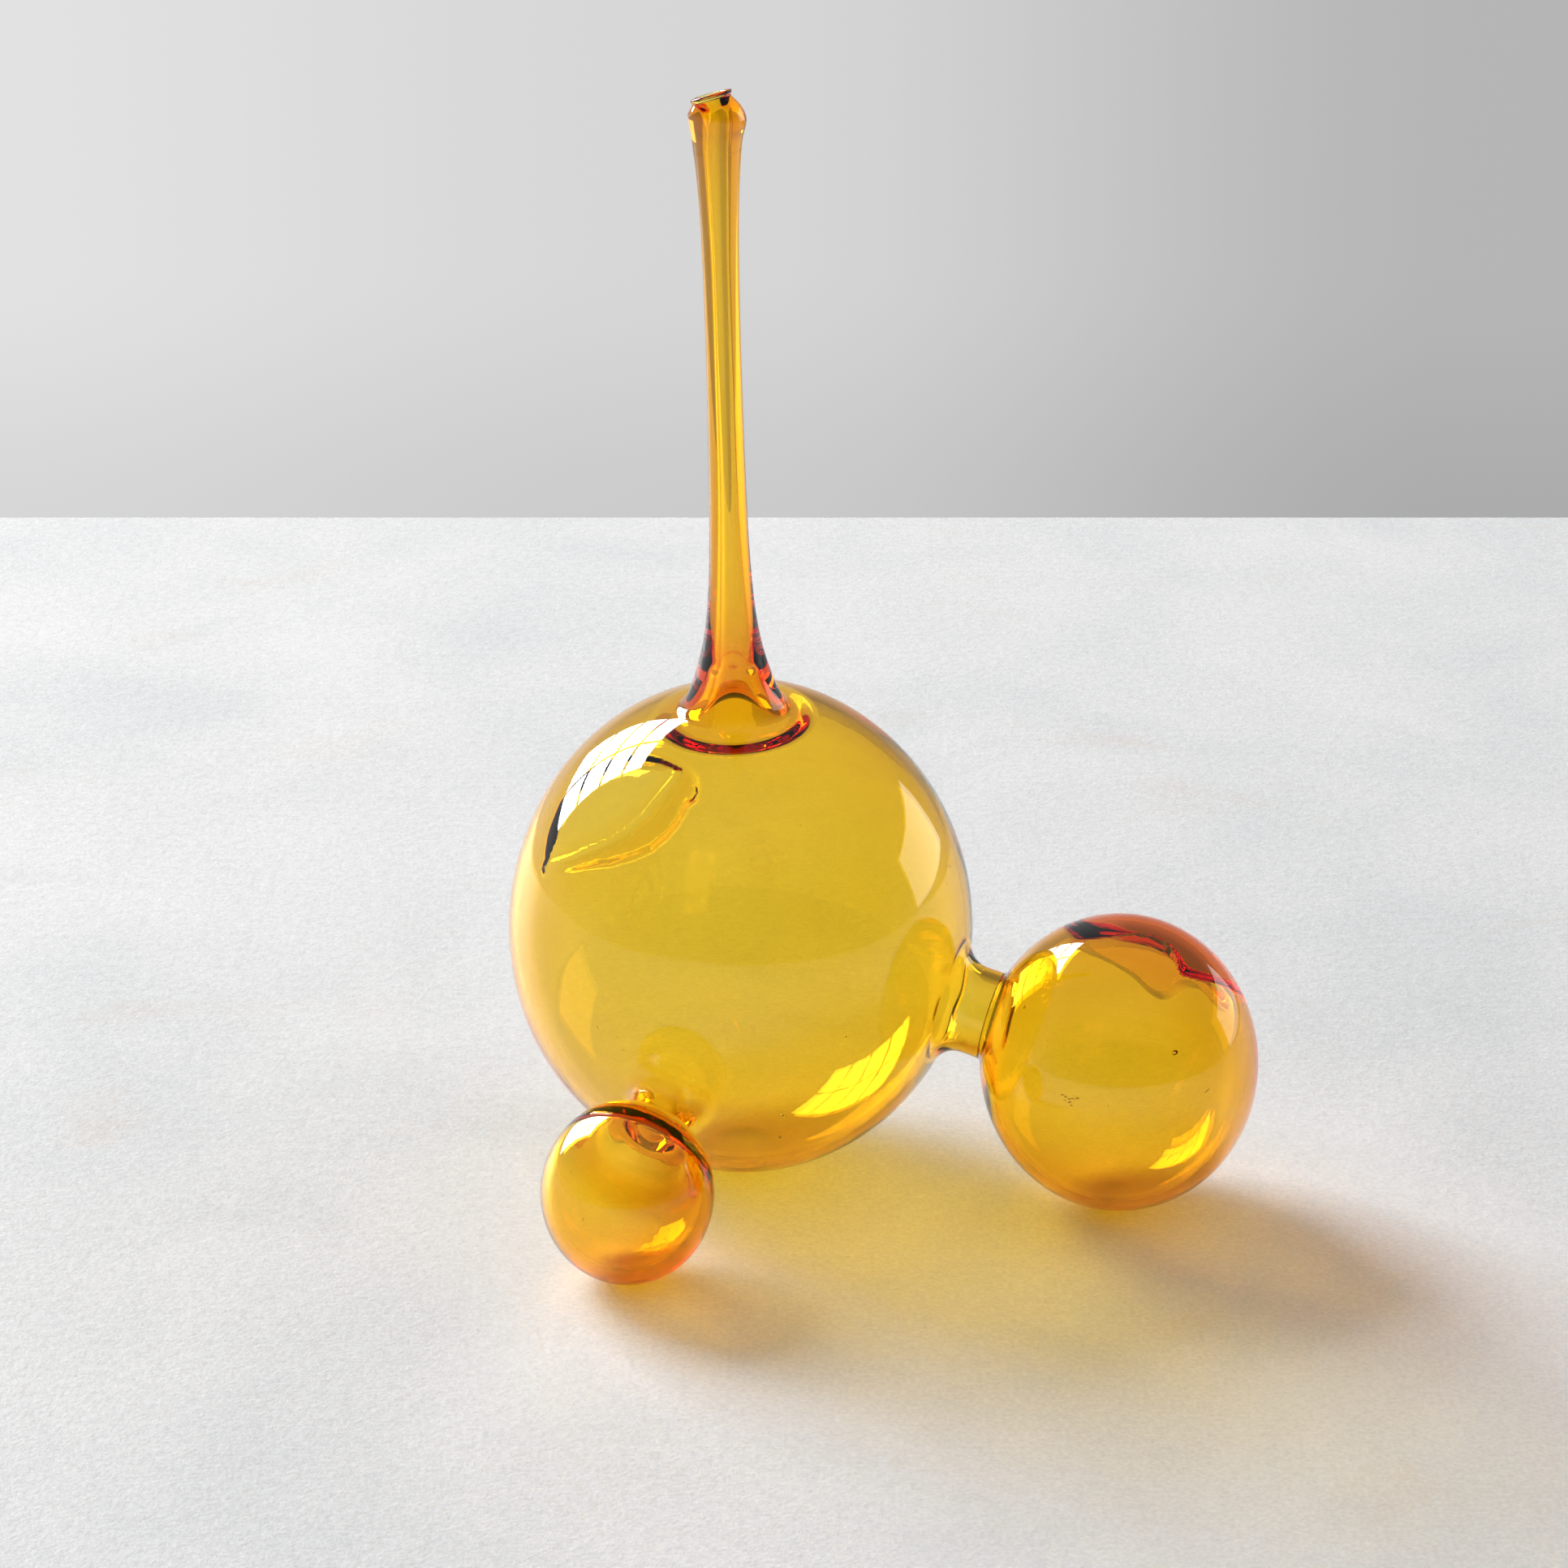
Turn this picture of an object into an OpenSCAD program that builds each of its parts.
// Blown-glass bud vase: a main globe carrying a long drawn neck, joined by
// short hollow necks to a larger and a smaller side globe.
// Millimetres, +Z up. The origin is where the main globe rests on the table.
// The larger side globe lies mostly towards +X, the smaller mostly towards -Y.

/* [Main globe] */
// Widest diameter of the main globe
main_d = 110; // [100:1:120]
// Wall thickness of the main globe
main_wall = 2.1; // [1.6:0.1:2.8]
// Radius of the resting flat under the main globe
main_foot_r = 7.5; // [4:0.5:10]
// Height of every globe divided by its width
stretch = 1.08; // [1:0.01:1.12]

/* [Side globe] */
// Widest diameter of the larger side globe
side_d = 65; // [60:1:70]
// Wall thickness of the larger side globe
side_wall = 2.7; // [2:0.1:3.4]
// Centre of the larger side globe along X
side_x = 88.6; // [88:0.5:94]
// Centre of the larger side globe along Y
side_y = -26.1; // [-32:0.5:-24]

/* [Small globe] */
// Widest diameter of the smaller globe
small_d = 39.5; // [36:0.5:41]
// Wall thickness of the smaller globe
small_wall = 2.4; // [1.8:0.1:3]
// Centre of the smaller globe along X
small_x = -25.2; // [-29:0.5:-24]
// Centre of the smaller globe along Y
small_y = -68.5; // [-72:0.5:-68]

/* [Joining necks] */
// Waist radius of the neck to the larger side globe
side_neck_r = 9.8; // [8.5:0.1:10.5]
// Waist radius of the neck to the smaller globe
small_neck_r = 7.2; // [6.2:0.1:7.8]
// Wall thickness of both joining necks at the waist
neck_wall = 2.3; // [1.8:0.1:2.8]

/* [Stem] */
// Distance along the stem from level with the main globe's centre to the mouth
stem_top = 206.9; // [198:0.1:218]
// Outer radius of the stem where it is thinnest
stem_r = 3.7; // [3.4:0.05:4.2]
// Radius of the straight part of the stem's bore
bore_r = 1.4; // [1:0.1:1.6]
// Lean of the stem away from the larger side globe, in degrees
stem_lean = 1.25; // [0:0.25:3]
// Lean of the stem towards the smaller globe, in degrees
stem_nod = 8.2; // [0:0.2:10]
// Radius of the thick pad of glass inside the globe under the stem
pad_r = 17; // [16:0.5:18]
// Depth of the pad's flat underside below the top of the globe
pad_depth = 5.8; // [5.4:0.1:6.4]

/* [Mouth] */
// Largest radius of the swelling under the mouth
mouth_r = 6.2; // [5.6:0.1:6.8]
// Tilt of the mouth's rolled rim, in degrees
mouth_tilt = 15; // [0:1:18]
// Tilt of the rim back towards level, in degrees
rim_nod = 6; // [0:1:10]

/* [Hidden] */
$fn = 120;
glass_alpha = 0.6;
table_size = 400;  // block that trims everything below the table top

// Globes: each is a sphere drawn taller by the common factor
main_r = main_d / 2;
side_r = side_d / 2;
small_r = small_d / 2;
side_foot_r = 4.5;
small_foot_r = 3;
main_centre = [0, 0, globe_height(main_r, main_foot_r)];
side_centre = [side_x, side_y, globe_height(side_r, side_foot_r)];
small_centre = [small_x, small_y, globe_height(small_r, small_foot_r)];
side_dir = side_centre - main_centre;
small_dir = small_centre - main_centre;
// Offset of each side globe's cavity from its centre
side_shift = [-0.9, -0.65, -0.75];
small_shift = [-0.2, 0.1, 0.4];

// Openings in the main globe into the joining necks and the stem's foot
side_opening_r = side_neck_r + 1.3;
small_opening_r = small_neck_r + 1.1;
collar_r = pad_r + 3.4;
collar_slope = collar_r / globe_height(main_r, collar_r);  // sideways per unit along the stem

// Stem axis: it stands square on the drawn-up globe, so it passes beside the
// globe's centre
stem_dir = [-cos(stem_nod) * sin(stem_lean), -sin(stem_nod), cos(stem_nod) * cos(stem_lean)];
stem_base = main_centre
    + [0, (stretch * stretch - 1) * main_r * sin(atan(tan(stem_nod) / stretch)), 0];

// Heights along the stem, measured from its base point
collar_top = 71.9;
tube_top = stem_top - 12.2;
swelling_top = stem_top - 5.6;
bore_start = 125;             // ends of the straight part of the bore
bore_end = bore_start + 40;

// Rolled rim
rim_height = stem_top - 0.8;
rim_ring_r = 3.5;
rim_bead_r = 0.9;
rim_shift = -0.9;             // across the stem
hole_shift = -0.3;
rim_disc_r = 3.4;             // disc that joins the rim to the swelling
rim_disc_h = 1.6;

// Height of a globe's surface above its centre, at a radius from its axis
function globe_height(globe_r, radius) =
    stretch * sqrt(globe_r * globe_r - radius * radius);

// Radius of a joining neck's bore where it enters the ball
function neck_end_bore(neck_r) = neck_r - neck_wall + 0.3;

// Outer radius of the stem at a height: flared at the foot, swollen at the mouth
function stem_outer(height) = stem_r
    + 2 * exp(-(height - collar_top) / 10)
    + 1.7 * exp(-(height - collar_top) / 33)
    + (mouth_r - stem_r) * exp(-max(0, swelling_top - height) / 15);

// Bore radius: straight in the middle, opening towards the globe and the mouth
function stem_bore(height) =
    height < bore_start
        ? bore_r + 1.5 * pow((bore_start - height) / (bore_start - collar_top), 2)
    : height > bore_end
        ? bore_r + 0.8 * pow((height - bore_end) / (swelling_top - bore_end), 1.5)
    : bore_r;

// Profile points [radius, height] of the stem's outside and of its bore
function outer_profile(heights) = [for (height = heights) [stem_outer(height), height]];
function bore_profile(heights) = [for (height = heights) [stem_bore(height), height]];

// Values from first to last in steps equal parts, bunched towards first
// when power is above 1
function spaced(first, last, steps, power = 1) =
    [for (i = [0 : steps]) first + (last - first) * pow(i / steps, power)];

// Points of a cubic Bezier curve, without its first point
function bezier(p, steps) = [
    for (i = [1 : steps])
        let (t = i / steps, s = 1 - t)
        s * s * s * p[0] + 3 * s * s * t * p[1] + 3 * s * t * t * p[2] + t * t * t * p[3]
];

function reversed(points) = [for (i = [len(points) - 1 : -1 : 0]) points[i]];

// Turns +Z to a direction
module along(dir)
    rotate([0, acos(dir[2] / norm(dir)), atan2(dir[1], dir[0])]) children();

// Frame whose +Z runs up the leaning stem from its base point
module stem_frame()
    translate(stem_base) rotate([stem_nod, -stem_lean, 0]) children();

module above_table() difference() {
    children();
    translate([-table_size / 2, -table_size / 2, -table_size])
        cube([table_size, table_size, table_size]);
}

// Solid globe: half an ellipse turned about its upright axis
module globe(centre, radius)
    translate(centre) rotate_extrude()
        polygon([
            for (i = [0 : 56])
                let (angle = 180 * i / 56)
                radius * [sin(angle), -stretch * cos(angle)]
        ]);

// Tapered hole through a wall, from start outwards
module opening(start, dir, start_r, end_r, length)
    translate(start) along(dir) cylinder(r1 = start_r, r2 = end_r, h = length);

module main_globe() color("goldenrod", glass_alpha) above_table() difference() {
    globe(main_centre, main_r);
    globe(main_centre, main_r - main_wall);
    opening(stem_base, stem_dir, 0, 1.4 * main_r * collar_slope, 1.4 * main_r);
    opening(main_centre, side_dir, side_opening_r + 0.6, side_opening_r - 0.1, 1.2 * main_r);
    opening(main_centre, small_dir, small_opening_r + 0.6, small_opening_r - 0.1, 1.2 * main_r);
}

// A side globe with the hole its joining neck opens into; the cavity sits
// off centre, which leaves one side thicker
module blown_ball(centre, radius, wall, shift, dir, neck_r) above_table() difference() {
    hole_r = neck_end_bore(neck_r);
    globe(centre, radius);
    globe(centre + shift, radius - wall);
    opening(centre, -dir, hole_r - 0.1, hole_r + 0.05, 1.3 * radius);
}

module side_globe() color("darkorange", glass_alpha)
    blown_ball(side_centre, side_r, side_wall, side_shift, side_dir, side_neck_r);

module small_globe() color("orange", glass_alpha)
    blown_ball(small_centre, small_r, small_wall, small_shift, small_dir, small_neck_r);

// Joining neck: flares out of the main globe, narrows to a waist and meets
// the ball at a crease. Its ends are shaped to the two globes' outsides.
module joining_neck(ball_centre, ball_r, dir, neck_r, opening_r) {
    main_overlap = 3.6;
    ball_overlap = 4;
    foot_r = opening_r + 3.2;
    foot_z = sqrt(main_r * main_r - foot_r * foot_r) + 0.35;
    end_r = neck_r + 0.25;
    end_z = norm(dir) - sqrt(ball_r * ball_r - end_r * end_r) - 0.2;
    waist_z = foot_z * 0.4 + end_z * 0.6;
    end_bore = neck_end_bore(neck_r);

    foot = [foot_r, foot_z];
    waist = [neck_r, waist_z];
    end = [end_r, end_z];
    outer = concat(
        [foot + [2.6, -main_overlap], foot],
        bezier([foot, foot + [-2.4, 2], waist - [0, 1.8], waist], 10),
        bezier([waist, waist + [0, 0.8], end - [0.1, 0.8], end], 4),
        [end + [0.5, ball_overlap]]);

    bore_foot = [opening_r, foot_z - 0.4];
    bore_waist = [neck_r - neck_wall, waist_z];
    bore = concat(
        [[opening_r, foot_z - main_overlap], bore_foot],
        bezier([bore_foot, bore_foot + [-0.6, 2], bore_waist - [0, 2.4], bore_waist], 10),
        [[end_bore, end_z], [end_bore, end_z + ball_overlap]]);

    difference() {
        translate(main_centre) along(dir) rotate_extrude()
            polygon(concat(outer, reversed(bore)));
        globe(main_centre, main_r);
        globe(ball_centre, ball_r);
    }
}

module side_bridge() color("gold", glass_alpha)
    joining_neck(side_centre, side_r, side_dir, side_neck_r, side_opening_r);

module small_bridge() color("gold", glass_alpha)
    joining_neck(small_centre, small_r, small_dir, small_neck_r, small_opening_r);

// Foot of the stem: outside it sweeps from the globe up into the stem, inside
// the glass thickens to a flat pad whose middle opens as a funnel to the bore.
module neck_collar() {
    sweep_r = 14;  // where the outside leaves the globe
    sweep_foot = [sweep_r, globe_height(main_r, sweep_r)];
    sweep_top = [stem_outer(collar_top), collar_top];
    outer = concat(
        [for (r = spaced(collar_r, sweep_r, 4)) [r, globe_height(main_r, r)]],
        bezier([sweep_foot, sweep_foot + [-2.8, 0.8], sweep_top + [1.8, -7.2], sweep_top], 16));

    cavity_r = main_r - main_wall;
    inner_r = collar_r * cavity_r / main_r;
    pad_z = stretch * main_r - pad_depth;
    wall_edge = [inner_r, globe_height(cavity_r, inner_r)];
    pad_edge = [pad_r, pad_z];
    pad_low = pad_edge - [2.6, 0.1];
    funnel_edge = [9.8, pad_z + 1.4];
    funnel_bend = [5.8, pad_z + 6.2];
    bore_foot = [stem_bore(collar_top), collar_top];
    inner = concat(
        [wall_edge],
        bezier([wall_edge, wall_edge + [-0.9, 0.33], pad_edge + [0.9, 0], pad_edge], 6),
        bezier([pad_edge, pad_edge - [1, 0], pad_low + [1, 0], pad_low], 4),
        bezier([pad_low, pad_low - [1.4, 0], pad_edge + [-5.6, 0.6], funnel_edge], 6),
        bezier([funnel_edge, funnel_edge + [-1.6, 0.8], funnel_bend + [1, -2.2], funnel_bend], 6),
        bezier([funnel_bend, funnel_bend + [-0.9, 2], bore_foot + [0.4, -5], bore_foot], 8));

    color("saddlebrown", glass_alpha) stem_frame() rotate_extrude()
        polygon(concat(outer, reversed(inner)));
}

// Long drawn tube with a thick wall
module stem() {
    outer = outer_profile(spaced(collar_top, tube_top, 48, 1.25));
    // The bore's straight part starts and ends exactly on its own stations
    bore = bore_profile(concat(
        spaced(collar_top, bore_start, 12),
        spaced(bore_end, tube_top, 6)));
    color("gold", glass_alpha) stem_frame() rotate_extrude()
        polygon(concat(outer, reversed(bore)));
}

// Swelling and rolled rim at the mouth: the rim is tilted and off centre
module mouth_lip() {
    heights = spaced(tube_top, swelling_top, 6);
    hole_r = stem_bore(swelling_top);
    swelling = [mouth_r, swelling_top];
    lip = [3.9, rim_height - 0.3];
    outer = concat(
        outer_profile(heights),
        bezier([swelling, swelling + [-0.05, 1.9], lip + [1, -1.6], lip], 10));
    bore = concat(bore_profile(heights), [[hole_r + 0.1, lip[1]]]);

    color("gold", glass_alpha) stem_frame() difference() {
        union() {
            rotate_extrude() polygon(concat(outer, reversed(bore)));
            translate([rim_shift, 0, rim_height]) rotate([-rim_nod, -mouth_tilt, 0]) {
                rotate_extrude() translate([rim_ring_r, 0]) circle(r = rim_bead_r, $fn = 48);
                translate([0, 0, -rim_disc_h]) cylinder(r = rim_disc_r, h = rim_disc_h);
            }
        }
        translate([hole_shift, 0, rim_height - 4]) rotate([0, -mouth_tilt / 3, 0])
            cylinder(r = hole_r + 0.02, h = 10);
    }
}

main_globe();
neck_collar();
stem();
mouth_lip();
side_bridge();
side_globe();
small_bridge();
small_globe();
